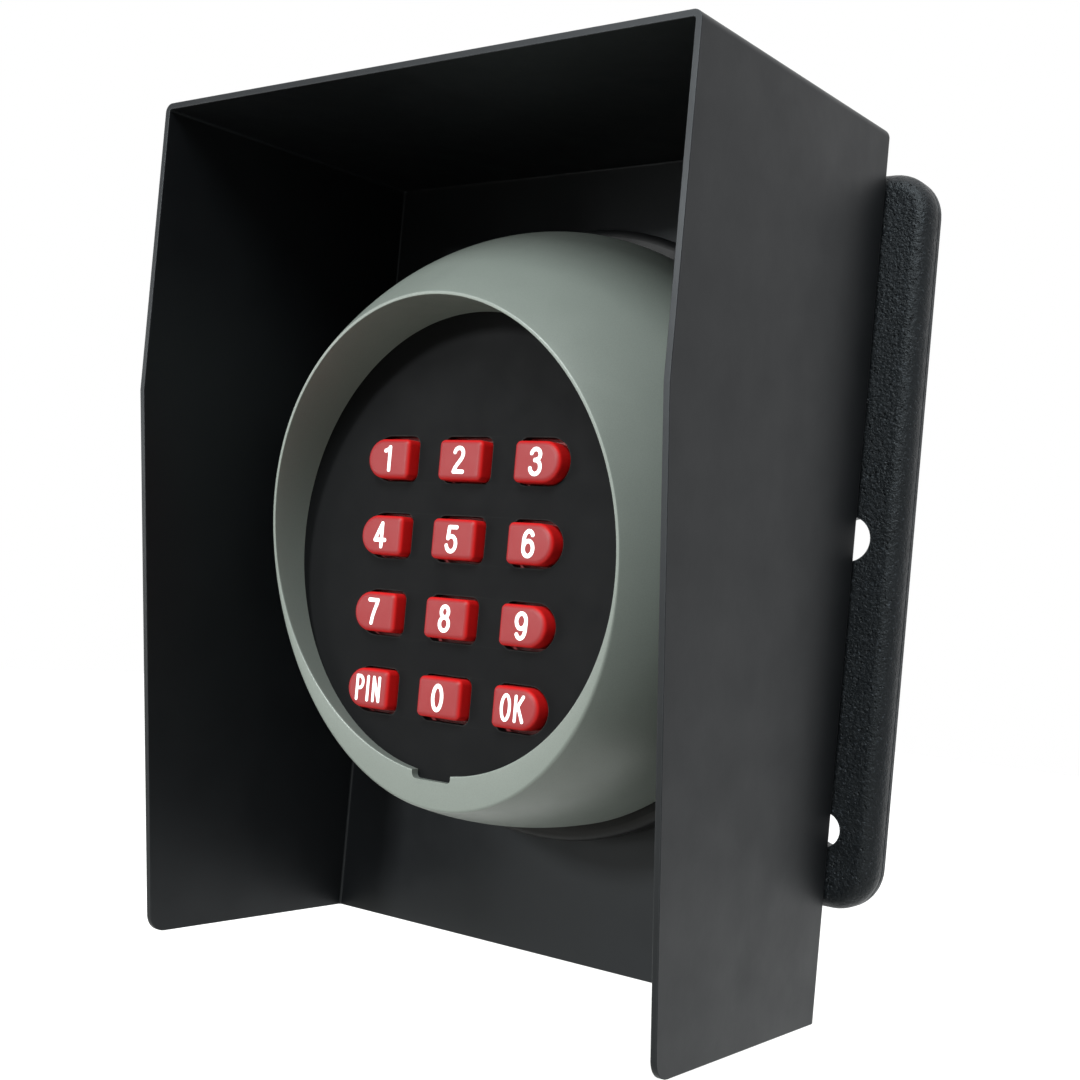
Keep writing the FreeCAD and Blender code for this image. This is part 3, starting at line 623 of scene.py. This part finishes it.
def build_shell():
    rings = None
    sections = []
    for i in range(NA):
        a = 2 * math.pi * i / NA
        outer, bf, bb, tb, inner = shell_profile(a)
        c, s = math.cos(a), math.sin(a)
        skirt0 = Vector((SKIRT_RX * c, SKIRT_Y, KP_Z + SKIRT_RZ * s))
        # corner between the dome and the lip or facet, slightly soft
        rim = outer[-1]
        k = len(outer) - 1
        width = (bf - rim).length
        soft = 0.5 + 0.35 * min(1.0, max(0.0, (width - 0.6) / 4.0))
        # drop dome points too near the crease, then round the corner
        near = [p for p in outer[:-1] if (p - rim).length > soft * 2.2]
        while len(near) < k:
            near.append(near[-1].lerp(rim, 0.0))
        # resample evenly so that every section has the same count
        def resample(pts, n):
            L = [0.0]
            for p, q in zip(pts, pts[1:]):
                L.append(L[-1] + (q - p).length)
            out = []
            j = 0
            for m in range(n):
                target = L[-1] * m / (n - 1)
                while j < len(L) - 2 and L[j + 1] < target:
                    j += 1
                seg = L[j + 1] - L[j]
                f = 0 if seg < 1e-9 else (target - L[j]) / seg
                out.append(pts[j].lerp(pts[j + 1], f))
            return out

        uniq = []
        for p in near:
            if not uniq or (p - uniq[-1]).length > 1e-6:
                uniq.append(p)
        dome = resample(uniq, 44)
        corner = smooth_path([dome[-1], rim, rim.lerp(bf, 0.5)], [0, soft, 0], 7)[1:-1]
        lipc = smooth_path([rim.lerp(bf, 0.5), bf, bf.lerp(bb, 0.3)], [0, 0.38, 0], 6)[1:-1]
        facet_mid = [rim.lerp(bf, 0.5)]
        wall = [bf.lerp(bb, f) for f in (0.3, 0.65, 1.0)]
        skirt_edge = smooth_path([Vector((skirt0.x * 0.985, skirt0.y, KP_Z + (skirt0.z - KP_Z) * 0.985)), skirt0,
                                  Vector((skirt0.x, skirt0.y - 1.2, skirt0.z))], [0, 0.35, 0], 4)[1:-1]
        inner_use = [p for p in inner if p.y > tb.y + 1.2]
        inner_rs = resample(inner_use, 22)
        skirt_in = Vector(((SKIRT_RX - SHELL_T) * c, SKIRT_Y, KP_Z + (SKIRT_RZ - SHELL_T) * s))
        sec = skirt_edge + dome + corner + facet_mid + lipc + wall + [tb] + list(reversed(inner_rs)) + [skirt_in]
        sections.append(sec)
    bm = bmesh.new()
    grid = [[bm.verts.new(p * MM) for p in sec] for sec in sections]
    m = len(grid[0])
    for i in range(NA):
        j = (i + 1) % NA
        for k in range(m):
            l = (k + 1) % m
            bm.faces.new((grid[i][k], grid[i][l], grid[j][l], grid[j][k]))
    bmesh.ops.recalc_face_normals(bm, faces=bm.faces)
    ob = mesh_object("shell_cover", bm)
    # screw recesses at the top and bottom of the skirt
    for s in (-1, 1):
        z0 = KP_Z + s * SKIRT_RZ
        bm = bmesh.new()
        rot = Matrix.Identity(4) if s > 0 else Matrix.Rotation(math.pi, 4, "X")
        bmesh.ops.create_cone(bm, cap_ends=True, segments=48, radius1=1.6 * MM, radius2=3.15 * MM, depth=1.7 * MM,
                              matrix=Matrix.Translation((0, LOCK_Y * MM, (z0 - s * 0.75) * MM)) @ rot)
        cone = mesh_object("cone_tool", bm, False)
        bm = bmesh.new()
        bmesh.ops.create_cone(bm, cap_ends=True, segments=48, radius1=1.6 * MM, radius2=1.6 * MM, depth=8 * MM,
                              matrix=Matrix.Translation((0, LOCK_Y * MM, (z0 - s * 2.0) * MM)))
        drill = mesh_object("drill_tool", bm, False)
        for tool_ in (cone, drill):
            mod = ob.modifiers.new("cut", "BOOLEAN")
            mod.operation, mod.object, mod.solver = "DIFFERENCE", tool_, "EXACT"
            apply_modifiers(ob)
            bpy.data.objects.remove(tool_)
    # pry slot in the bottom of the lip
    zb = RIM_Z - BORE_RZ * CT
    bm = bmesh.new()
    half, r_ = PRY_W / 2, 0.9
    prof = [(-half, zb + 4.0), (-half, zb - PRY_H + r_)]
    prof += [(-half + r_ - r_ * math.cos(math.radians(a)), zb - PRY_H + r_ - r_ * math.sin(math.radians(a))) for a in range(15, 91, 15)]
    prof += [(half - r_ + r_ * math.sin(math.radians(a)), zb - PRY_H + r_ - r_ * math.cos(math.radians(a))) for a in range(0, 91, 15)]
    prof += [(half, zb + 4.0)]
    fr = [bm.verts.new(((PRY_X + p[0]) * MM, -60.0 * MM, p[1] * MM)) for p in prof]
    bk = [bm.verts.new(((PRY_X + p[0]) * MM, (FACE_Y + 0.001) * MM, p[1] * MM)) for p in prof]
    bm.faces.new(fr)
    bm.faces.new(list(reversed(bk)))
    for i in range(len(prof)):
        j = (i + 1) % len(prof)
        bm.faces.new((fr[j], fr[i], bk[i], bk[j]))
    bmesh.ops.recalc_face_normals(bm, faces=bm.faces)
    slot_tool = mesh_object("pry_tool", bm, False)
    mod = ob.modifiers.new("cut", "BOOLEAN")
    mod.operation, mod.object, mod.solver = "DIFFERENCE", slot_tool, "EXACT"
    apply_modifiers(ob)
    bpy.data.objects.remove(slot_tool)
    ob.data.name = "shell_cover"
    for p in ob.data.polygons:
        p.use_smooth = True
    ob.data.set_sharp_from_angle(angle=math.radians(42))
    return ob


shell = build_shell()
dress(shell, "shell_paint", "housing")
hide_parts("keypad_shell")


# ======================================================================
# Face plate with softened cut-outs
# ======================================================================
names = [["1", "2", "3"], ["4", "5", "6"], ["7", "8", "9"], ["pin", "0", "ok"]]
KEYS = []
for r in range(4):
    for c in range(3):
        KEYS.append((names[r][c], (c - 1) * PITCH_X, KEY_Z + (1.5 - r) * PITCH_Z, c))


def key_outline(col, grow, seg=10):
    """Outline of one key about its centre, anticlockwise seen from the front (x, z), millimetres."""
    w, h = KEY_W / 2 + grow, KEY_H / 2 + grow
    rr = 1.1 + grow
    rr = max(rr, 0.12)
    pts = []

    def corner(cx, cz, a0):
        for i in range(seg + 1):
            a = math.radians(a0 + 90.0 * i / seg)
            pts.append((cx + rr * math.cos(a), cz + rr * math.sin(a)))

    def half(sign):
        cx = sign * (w - h)
        a0 = -90.0 if sign > 0 else 90.0
        for i in range(2 * seg + 2):
            a = math.radians(a0 + 180.0 * i / (2 * seg + 1))
            pts.append((cx + h * math.cos(a), h * math.sin(a)))

    # right end, from the bottom up
    if col == 2:
        half(1)
    else:
        corner(w - rr, -h + rr, -90)
        corner(w - rr, h - rr, 0)
    if col == 0:
        half(-1)
    else:
        corner(-w + rr, h - rr, 90)
        corner(-w + rr, -h + rr, 180)
    return pts


def build_face():
    """The plate as a filled outline with twelve openings, its edges broken."""
    cu = bpy.data.curves.new("face_curve", "CURVE")
    cu.dimensions = "2D"
    cu.fill_mode = "BOTH"
    bev = 0.16

    def spline(pts):
        s = cu.splines.new("POLY")
        s.points.add(len(pts) - 1)
        for p, q in zip(s.points, pts):
            p.co = (q[0] * MM, q[1] * MM, 0, 1)
        s.use_cyclic_u = True

    g = FACE_FLANGE - 0.05 - bev
    spline([((BORE_RX + g) * math.cos(2 * math.pi * i / 220), RIM_Z + (BORE_RZ * CT + g) * math.sin(2 * math.pi * i / 220)) for i in range(220)])
    for i, (n, x, z, c) in enumerate(KEYS):
        zo = z + (1.5 - i // 3) * OPEN_STEP
        spline([(x + p[0], zo + p[1]) for p in key_outline(c, KEY_GAP + bev)])
    cu.extrude = (FACE_T / 2 - bev) * MM
    cu.bevel_depth = bev * MM
    cu.bevel_resolution = 2
    ob = bpy.data.objects.new("face_curve", cu)
    scene.collection.objects.link(ob)
    dg = bpy.context.evaluated_depsgraph_get()
    dg.update()
    me = bpy.data.meshes.new_from_object(ob.evaluated_get(dg))
    bpy.data.objects.remove(ob)
    # curve plane (x, y) to the object's (x, z); curve +z faces the front
    me.transform(Matrix.Translation((0, (FACE_Y + FACE_T / 2) * MM, 0)) @ Matrix.Rotation(math.pi / 2, 4, "X"))
    bm = bmesh.new()
    bm.from_mesh(me)
    bmesh.ops.remove_doubles(bm, verts=bm.verts, dist=1e-6)
    bmesh.ops.recalc_face_normals(bm, faces=bm.faces)
    bm.to_mesh(me)
    bm.free()
    ob = bpy.data.objects.new("face_panel", me)
    me.name = "face_panel"
    scene.collection.objects.link(ob)
    for p in me.polygons:
        p.use_smooth = True
    me.set_sharp_from_angle(angle=math.radians(40))
    wn = ob.modifiers.new("wn", "WEIGHTED_NORMAL")
    wn.weight, wn.keep_sharp, wn.mode = 100, True, "FACE_AREA"
    apply_modifiers(ob)
    return ob


face = build_face()
dress(face, "face_plastic", "housing")
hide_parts("face_plate")


# ======================================================================
# Keys
# ======================================================================
KEY_FILLET = 0.95


def build_key(n, x, z, c):
    """Cap drawn as a stack of outlines, from the flange behind the face up to the pillowed top."""
    top = FACE_Y - KEY_OUT
    y_in = FACE_Y + FACE_T + 0.3
    stack = []            # (grow, y)
    # flange, behind the face plate
    fl = KEY_FLANGE
    stack += [(fl - 0.12, y_in + 1.0), (fl, y_in + 0.88), (fl, y_in + 0.12), (fl - 0.1, y_in)]
    stack += [(0.02, y_in - 0.02)]
    # side wall with a little draft up to the fillet
    stack += [(0.0, y_in - 0.3), (0.0, FACE_Y), (-0.02, top + KEY_FILLET + 0.35)]
    for i in range(0, 9):
        a = math.radians(90.0 * i / 8)
        stack.append((-0.03 - KEY_FILLET * (1 - math.cos(a)), top + 0.06 + KEY_FILLET * (1 - math.sin(a))))
    # pillow
    g0 = -0.03 - KEY_FILLET
    for f, dy in ((0.30, 0.045), (0.62, 0.015), (0.90, 0.002)):
        stack.append((g0 - 2.6 * f, top + dy))
    bm = bmesh.new()
    rings = []
    for g, y in stack:
        pts = key_outline(c, g)
        rings.append([bm.verts.new(((x + p[0]) * MM, y * MM, (z + p[1]) * MM)) for p in pts])
    m = len(rings[0])
    for ra, rb in zip(rings, rings[1:]):
        for i in range(m):
            j = (i + 1) % m
            bm.faces.new((ra[i], ra[j], rb[j], rb[i]))
    bm.faces.new(rings[-1])
    bm.faces.new(list(reversed(rings[0])))
    # plunger at the back
    ys = [(2.0, y_in + 1.0), (2.0, FACE_Y + FACE_T + 1.8 - 0.25), (1.75, FACE_Y + FACE_T + 1.8)]
    pr = []
    for r_, y in ys:
        pr.append([bm.verts.new(((x + r_ * math.cos(2 * math.pi * i / 40)) * MM, y * MM, (z + r_ * math.sin(2 * math.pi * i / 40)) * MM)) for i in range(40)])
    for ra, rb in zip(pr, pr[1:]):
        for i in range(40):
            j = (i + 1) % 40
            bm.faces.new((ra[i], ra[j], rb[j], rb[i]))
    bm.faces.new(pr[-1])
    bmesh.ops.recalc_face_normals(bm, faces=bm.faces)
    ob = mesh_object("key_cap_" + n, bm)
    ob.data.set_sharp_from_angle(angle=math.radians(48))
    return ob


for n, x, z, c in KEYS:
    k = build_key(n, x, z, c)
    dress(k, "key_plastic", "key_%s_body" % n)
    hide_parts("key_" + n)

# ======================================================================
# Printed legends: condensed strokes, a hair proud of the key tops
# ======================================================================
def poly_arc(cx, cy, rx, ry, a0, a1, n=14):
    return [(cx + rx * math.cos(math.radians(a0 + (a1 - a0) * i / n)), cy + ry * math.sin(math.radians(a0 + (a1 - a0) * i / n))) for i in range(n + 1)]


# each glyph: width, list of (closed, points) centre lines in a box one unit high
def glyphs():
    g = {}
    g["1"] = (0.34, [(False, [(0.02, 0.79), (0.10, 0.815), (0.18, 0.86), (0.235, 0.935), (0.235, 0.0)])])
    g["2"] = (0.50, [(False, poly_arc(0.245, 0.735, 0.195, 0.215, 168, 0, 16) +
                      [(0.425, 0.64), (0.385, 0.54), (0.30, 0.42), (0.19, 0.28), (0.10, 0.14), (0.055, 0.035)]),
                     (False, [(0.045, 0.0), (0.455, 0.0)])])
    g["3"] = (0.50, [(False, poly_arc(0.235, 0.735, 0.19, 0.215, 165, -52, 18) + [(0.25, 0.525)]),
                     (False, [(0.21, 0.525)] + poly_arc(0.235, 0.255, 0.215, 0.27, 78, -168, 22))])
    g["4"] = (0.54, [(False, [(0.345, 0.0), (0.345, 0.95), (0.03, 0.27), (0.51, 0.27)])])
    g["5"] = (0.50, [(False, [(0.445, 0.95), (0.115, 0.95), (0.075, 0.50)]),
                     (False, [(0.085, 0.50), (0.13, 0.56)] + poly_arc(0.235, 0.285, 0.215, 0.30, 105, -165, 24))])
    g["6"] = (0.50, [(False, poly_arc(0.25, 0.60, 0.20, 0.355, 38, 180, 14) + [(0.045, 0.48), (0.04, 0.30)]),
                     (True, poly_arc(0.245, 0.285, 0.205, 0.29, 180, 540, 30)[:-1])])
    g["7"] = (0.48, [(False, [(0.02, 0.95), (0.43, 0.95), (0.395, 0.82), (0.30, 0.55), (0.215, 0.25), (0.175, 0.0)])])
    g["8"] = (0.50, [(True, poly_arc(0.245, 0.735, 0.165, 0.215, 90, 450, 28)[:-1]),
                     (True, poly_arc(0.245, 0.255, 0.205, 0.265, 90, 450, 30)[:-1])])
    g["9"] = (0.50, [(True, poly_arc(0.245, 0.665, 0.205, 0.29, 0, 360, 30)[:-1]),
                     (False, [(0.45, 0.64), (0.445, 0.47)] + poly_arc(0.24, 0.355, 0.20, 0.355, 0, -142, 14))])
    g["0"] = (0.50, [(True, poly_arc(0.245, 0.475, 0.205, 0.48, 90, 450, 34)[:-1])])
    g["P"] = (0.46, [(False, [(0.07, 0.0), (0.07, 0.95), (0.22, 0.95)] + poly_arc(0.22, 0.705, 0.19, 0.245, 80, -80, 12) + [(0.22, 0.46), (0.08, 0.46)])])
    g["I"] = (0.20, [(False, [(0.09, 0.0), (0.09, 0.95)])])
    g["N"] = (0.48, [(False, [(0.07, 0.0), (0.07, 0.95), (0.40, 0.0), (0.40, 0.95)])])
    g["O"] = (0.52, [(True, poly_arc(0.255, 0.475, 0.21, 0.48, 90, 450, 34)[:-1])])
    g["K"] = (0.50, [(False, [(0.07, 0.0), (0.07, 0.95)]),
                     (False, [(0.44, 0.95), (0.10, 0.42)]),
                     (False, [(0.20, 0.57), (0.46, 0.0)])])
    return g


GL = glyphs()


def legend_strokes(text, height, stroke, gap=0.08, squeeze=1.0):
    """Centre lines of a legend about its own middle, in millimetres."""
    inner_h = height - stroke
    width = sum(GL[ch][0] for ch in text) * inner_h * squeeze + gap * height * (len(text) - 1)
    ox = -width / 2
    parts = []
    for ch in text:
        w, strokes = GL[ch]
        for closed, pts in strokes:
            parts.append((closed, [(ox + p[0] * inner_h * squeeze, (p[1] - 0.475) * inner_h / 0.95) for p in pts]))
        ox += w * inner_h * squeeze + gap * height
    return parts


def stroke_mask(parts, stroke, step=0.03, margin=0.25):
    """Signed distance to the strokes on a grid, then a contour by marching squares."""
    segs = []
    for closed, q in parts:
        n = len(q)
        for i in range(n if closed else n - 1):
            segs.append((q[i], q[(i + 1) % n]))
    xs = [p[0] for s in segs for p in s]
    zs = [p[1] for s in segs for p in s]
    x0, x1 = min(xs) - stroke - margin, max(xs) + stroke + margin
    z0, z1 = min(zs) - stroke - margin, max(zs) + stroke + margin
    nx, nz = int((x1 - x0) / step) + 2, int((z1 - z0) / step) + 2
    import numpy as np
    X = x0 + np.arange(nx) * step
    Z = z0 + np.arange(nz) * step
    GX, GZ = np.meshgrid(X, Z, indexing="ij")
    D = np.full(GX.shape, 1e9)
    for (ax, az), (bx, bz) in segs:
        dx, dz = bx - ax, bz - az
        L = dx * dx + dz * dz
        if L < 1e-12:
            continue
        t = np.clip(((GX - ax) * dx + (GZ - az) * dz) / L, 0, 1)
        D = np.minimum(D, np.hypot(GX - ax - t * dx, GZ - az - t * dz))
    # softly squared stroke ends come from the small radius left by the distance field
    F = D - stroke / 2
    return X, Z, F


def contour_mesh(name, X, Z, F, x, z, y_front, thick):
    """Solid with vertical sides from the region F < 0 (marching squares with welded vertices)."""
    bm = bmesh.new()
    cache = {}

    def vert(key, px, pz):
        v = cache.get(key)
        if v is None:
            v = bm.verts.new(((x + px) * MM, y_front * MM, (z + pz) * MM))
            cache[key] = v
        return v

    nx, nz = F.shape

    def edge_pt(i, j, k, l):
        a, b = F[i, j], F[k, l]
        t = a / (a - b)
        t = min(max(t, 0.02), 0.98)
        return X[i] + (X[k] - X[i]) * t, Z[j] + (Z[l] - Z[j]) * t

    for i in range(nx - 1):
        for j in range(nz - 1):
            cs = [(i, j), (i + 1, j), (i + 1, j + 1), (i, j + 1)]
            ins = [F[c_] < 0 for c_ in cs]
            if not any(ins):
                continue
            poly = []
            for q in range(4):
                a, b = cs[q], cs[(q + 1) % 4]
                if ins[q]:
                    poly.append(vert(("c",) + a, X[a[0]], Z[a[1]]))
                if ins[q] != ins[(q + 1) % 4]:
                    lo, hi = (a, b) if a < b else (b, a)
                    px, pz = edge_pt(lo[0], lo[1], hi[0], hi[1])
                    poly.append(vert(("e", lo, hi), px, pz))
            if len(poly) >= 3:
                try:
                    bm.faces.new(poly)
                except ValueError:
                    pass
    bmesh.ops.dissolve_limit(bm, angle_limit=math.radians(2.0), verts=bm.verts, edges=bm.edges)
    res = bmesh.ops.extrude_face_region(bm, geom=list(bm.faces))
    vs = [g_ for g_ in res["geom"] if isinstance(g_, bmesh.types.BMVert)]
    bmesh.ops.translate(bm, verts=vs, vec=(0, thick * MM, 0))
    bmesh.ops.recalc_face_normals(bm, faces=bm.faces)
    ob = mesh_object(name, bm, False)
    return ob


LABELS = {"pin": "PIN", "ok": "OK"}
for n, x, z, c in KEYS:
    text = LABELS.get(n, n)
    top = FACE_Y - KEY_OUT
    if len(text) == 1:
        st = 0.78
        parts = legend_strokes(text, 5.25, st, squeeze=1.17)
    else:
        st = 0.64
        parts = legend_strokes(text, 5.1, st, gap=0.135 if text == "PIN" else 0.15, squeeze=0.98)
    X, Z, F = stroke_mask(parts, st, step=0.045)
    lg = contour_mesh("legend_" + n, X, Z, F, x + {"PIN": 0.45, "OK": -0.35, "1": 0.30}.get(text, 0.02), z, top - 0.035, 0.12)
    lg.data.materials.append(LEGEND)
    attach(lg, "key_%s_body" % n)

# ======================================================================
# Materials on the CAD nodes that are shown as they are
# ======================================================================
NODE_SLOT = {
    "rear_mount_plate": "plate_coat", "base_gasket": "foam_rubber", "keypad_base": "black_plastic",
    "shell_seal": "seal_rubber", "keypad_mat": "mat_silicone", "circuit_board": "board_laminate",
    "snap_domes": "dome_steel", "board_screws": "screw_steel", "microcontroller": "chip_plastic",
    "buzzer": "buzzer_plastic", "battery_holder": "holder_plastic", "battery_cells": "cell_jacket",
    "battery_contacts": "contact_metal", "base_bolts": "bolt_steel", "base_nuts": "nut_steel",
    "shell_lock_screws": "lock_steel",
}
for n, s in NODE_SLOT.items():
    if n in nodes:
        ob = nodes[n]
        ob.data.materials.clear()
        ob.data.materials.append(MATS[s])
        for p in ob.data.polygons:
            p.material_index = 0
for n in ("hood_shell", "keypad_shell", "face_plate"):
    ob = nodes[n]
    ob.data.materials.clear()
    ob.data.materials.append(MATS[{"hood_shell": "hood_coat", "keypad_shell": "shell_paint", "face_plate": "face_plastic"}[n]])
for n, x, z, c in KEYS:
    ob = nodes["key_" + n]
    ob.data.materials.clear()
    ob.data.materials.append(MATS["key_plastic"])

# ======================================================================
# Stage: pale floor, soft light, camera
# ======================================================================
bm = bmesh.new()
S = 1.6
floor_z = HOOD_Z0 * MM - 0.075
vs = [bm.verts.new(p) for p in ((-S, -S, floor_z), (S, -S, floor_z), (S, S, floor_z), (-S, S, floor_z))]
bm.faces.new(vs)
floor = mesh_object("studio_floor", bm, False)
fm = Mat("studio_floor_paper")
fsep = fm.n("ShaderNodeSeparateXYZ")
fm.link(fm.tc.outputs["Object"], fsep.inputs[0])
fcol = fm.ramp(fm.remap(fsep.outputs["Y"], -0.25, 1.0, 0.0, 1.0),
               [(0.0, (0.340, 0.328, 0.296, 1.0)), (0.16, (0.50, 0.495, 0.475, 1.0)), (0.30, (0.82, 0.82, 0.815, 1.0)), (0.92, (0.96, 0.96, 0.96, 1.0))])
fcol = fm.mix(fm.remap(fm.noise(6.0, 3.0, 0.5), 0.3, 0.7, 0.2, 1.0), fcol, (0.975, 0.975, 0.975, 1.0), blend="MULTIPLY")
fm.link(fcol, fm.b.inputs["Base Color"])
fm.b.inputs["Roughness"].default_value = 0.9
fm.b.inputs["Specular IOR Level"].default_value = 0.1
fm.link(fm.bump(fm.noise(800.0, 3.0, 0.5), 0.03, 0.0002), fm.b.inputs["Normal"])
floor.data.materials.append(fm.m)

world = bpy.data.worlds.new("studio")
scene.world = world
world.use_nodes = True
wt = world.node_tree
wt.nodes.clear()
wo = wt.nodes.new("ShaderNodeOutputWorld")
wb = wt.nodes.new("ShaderNodeBackground")
wb.inputs["Color"].default_value = (1.0, 1.0, 1.0, 1.0)
wtc = wt.nodes.new("ShaderNodeTexCoord")
wsep = wt.nodes.new("ShaderNodeSeparateXYZ")
wt.links.new(wtc.outputs["Generated"], wsep.inputs[0])


def world_range(socket, f0, f1, t0, t1):
    n = wt.nodes.new("ShaderNodeMapRange")
    n.interpolation_type = "SMOOTHSTEP"
    for key, v in (("From Min", f0), ("From Max", f1), ("To Min", t0), ("To Max", t1)):
        n.inputs[key].default_value = v
    wt.links.new(socket, n.inputs["Value"])
    return n.outputs[0]


# white backdrop behind the object, dimmer room in front of it, bright ceiling
wadd = wt.nodes.new("ShaderNodeMath")
wadd.operation = "ADD"
wt.links.new(world_range(wsep.outputs["Y"], -0.45, 0.30, 0.42, 1.0), wadd.inputs[0])
wt.links.new(world_range(wsep.outputs["Z"], 0.55, 0.90, 0.0, 0.8), wadd.inputs[1])
wt.links.new(wadd.outputs[0], wb.inputs["Strength"])
wt.links.new(wb.outputs[0], wo.inputs[0])


def area(name, loc, target, size, power, colour=(1, 1, 1), shape="RECTANGLE", size_y=None):
    li = bpy.data.lights.new(name, "AREA")
    li.shape = shape
    li.size = size
    if size_y:
        li.size_y = size_y
    li.energy = power
    li.color = colour
    ob = bpy.data.objects.new(name, li)
    scene.collection.objects.link(ob)
    ob.location = loc
    d = Vector(target) - Vector(loc)
    ob.rotation_mode = "QUATERNION"
    ob.rotation_quaternion = d.to_track_quat("-Z", "Y")
    return ob


area("key_softbox", (-0.31, -1.12, 0.30), (0, -0.03, 0.0), 0.12, 12.0, (0.98, 1.0, 0.995), size_y=0.12)
area("top_softbox", (0.26, -0.95, 0.82), (0, -0.03, 0.0), 0.5, 18.0, (0.96, 1.0, 1.0), size_y=0.5)
area("fill_softbox", (-0.85, -0.80, -0.02), (0, -0.03, -0.04), 0.45, 3.4, (0.99, 1.0, 0.985), size_y=0.45)

# ---- camera -----------------------------------------------------------
AZ, EL, ROLL = math.radians(35.439), math.radians(-0.590), math.radians(5.107)
F_PX, CX, CY, PX = 1522.8, 568.0, 593.0, 1080.0
d = Vector((-math.sin(AZ) * math.cos(EL), math.cos(AZ) * math.cos(EL), -math.sin(EL)))
r0 = d.cross(Vector((0, 0, 1))).normalized()
u0 = r0.cross(d)
right = math.cos(ROLL) * r0 + math.sin(ROLL) * u0
up = -math.sin(ROLL) * r0 + math.cos(ROLL) * u0
cam_data = bpy.data.cameras.new("camera")
cam = bpy.data.objects.new("camera", cam_data)
scene.collection.objects.link(cam)
cam_data.sensor_width = 36.0
cam_data.sensor_fit = "AUTO"
cam_data.lens = F_PX / PX * 36.0
cam_data.shift_x = -(CX - PX / 2) / PX
cam_data.shift_y = (CY - PX / 2) / PX
cam_data.clip_start, cam_data.clip_end = 0.01, 20.0
rot = Matrix((right, up, -d)).transposed()
cam.matrix_world = Matrix.Translation((0.18337, -0.26883, -0.01779)) @ rot.to_4x4()
scene.camera = cam

scene.view_settings.view_transform = "Standard"
scene.view_settings.look = "None"
scene.view_settings.exposure = 0.0
scene.view_settings.gamma = 1.0
